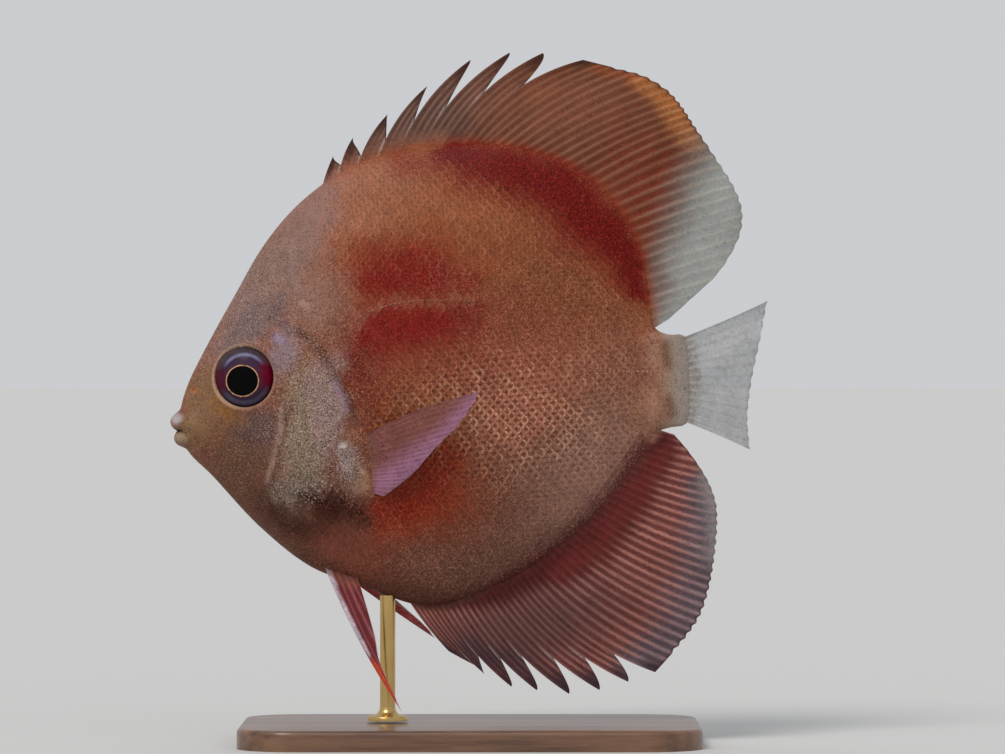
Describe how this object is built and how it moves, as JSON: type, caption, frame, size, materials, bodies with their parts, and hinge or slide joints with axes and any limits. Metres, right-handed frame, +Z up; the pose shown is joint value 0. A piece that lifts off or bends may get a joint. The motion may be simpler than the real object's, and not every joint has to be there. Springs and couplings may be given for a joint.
{
  "type": "discus fish model",
  "caption": "Life-size still model of a young discus fish, high and flat like a disc, with spread fins, held over a flat base by one short rod.",
  "frame": {"origin": "middle of the whole model's footprint, on the underside of the base", "axes": "+Z up; the fish faces -X, its left side is at -Y and its right side at +Y"},
  "size_m": [0.094, 0.046, 0.1083],
  "materials": {
    "head_skin": "satin skin, mauve brown",
    "flank_skin": "satin skin, brick red to tan",
    "gill_skin": "satin skin, silvery olive",
    "lip_skin": "satin, pale",
    "eye_gloss": "high gloss",
    "red_fin": "satin, red brown",
    "pale_fin": "satin, milky",
    "pink_fin": "satin, pink",
    "base_wood": "waxed walnut",
    "rod_metal": "satin"
  },
  "bodies": {
    "root": {"head": "head_skin", "trunk": "flank_skin", "tail_stalk": "flank_skin", "gill_cover_left": "gill_skin", "gill_cover_right": "gill_skin", "upper_lip": "lip_skin", "lower_lip": "lip_skin", "eye_left": "eye_gloss", "eye_right": "eye_gloss", "dorsal_fin": "red_fin", "anal_fin": "red_fin", "pelvic_fin_left": "red_fin", "pelvic_fin_right": "red_fin", "tail_fin": "pale_fin", "pectoral_fin_left": "pink_fin", "pectoral_fin_right": "pink_fin", "stand_base": "base_wood", "stand_rod": "rod_metal"}
  },
  "joints": []
}
